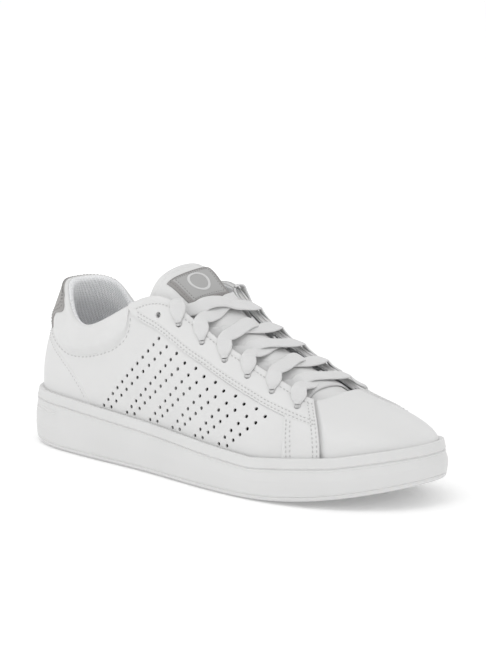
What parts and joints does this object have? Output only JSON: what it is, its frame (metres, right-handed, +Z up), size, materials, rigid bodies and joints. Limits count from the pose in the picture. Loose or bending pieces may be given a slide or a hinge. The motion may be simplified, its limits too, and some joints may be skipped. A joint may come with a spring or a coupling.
{
  "type": "court shoe",
  "caption": "Low leather court shoe with a cupped rubber sole, padded collar and tongue, punched eyelets and flat laces.",
  "frame": {"origin": "middle of the sole's bounding rectangle on the ground", "axes": "+X to the toe, +Y to the inner (medial) side of the foot, +Z up; the shoe is a right shoe"},
  "size_m": [0.2994, 0.1059, 0.1174],
  "materials": {
    "sole_rubber": "satin moulded rubber",
    "eva_foam": "closed-cell foam",
    "fibre_board": "pressed fibre board",
    "lining_mesh": "ribbed knitted mesh",
    "upper_leather": "smooth coated leather",
    "grey_leather": "smooth grey synthetic leather",
    "label_print": "raised soft print",
    "lace_cotton": "flat woven cotton",
    "aglet_film": "clear glossy film"
  },
  "bodies": {
    "root": {"cupsole": "sole_rubber", "midsole_foam": "eva_foam", "insole_board": "fibre_board", "sockliner": "lining_mesh", "vamp": "upper_leather", "quarter_lateral": "upper_leather", "quarter_medial": "upper_leather", "heel_cover": "upper_leather", "collar_panel": "upper_leather", "eyestay_lateral": "upper_leather", "eyestay_medial": "upper_leather", "forefoot_strap_lateral": "upper_leather", "forefoot_strap_medial": "upper_leather", "heel_tab": "grey_leather", "heel_counter": "fibre_board", "toe_puff": "fibre_board", "collar_foam": "eva_foam", "vamp_lining": "lining_mesh", "collar_lining": "lining_mesh", "lace": "lace_cotton", "aglet_lateral": "aglet_film", "aglet_medial": "aglet_film"},
    "tongue": {"tongue_cover": "upper_leather", "tongue_foam": "eva_foam", "tongue_lining": "lining_mesh", "tongue_label": "grey_leather", "label_ring": "label_print"}
  },
  "joints": [
    {"name": "tongue_pivot", "type": "hinge", "parent": "root", "child": "tongue", "pos_m": [0.08822, 0.00033, 0.054], "axis": [0, 1, 0], "range_deg": [-6, 0], "stiffness_Nm_per_rad": 0.6, "springref_deg": 5.16}
  ]
}
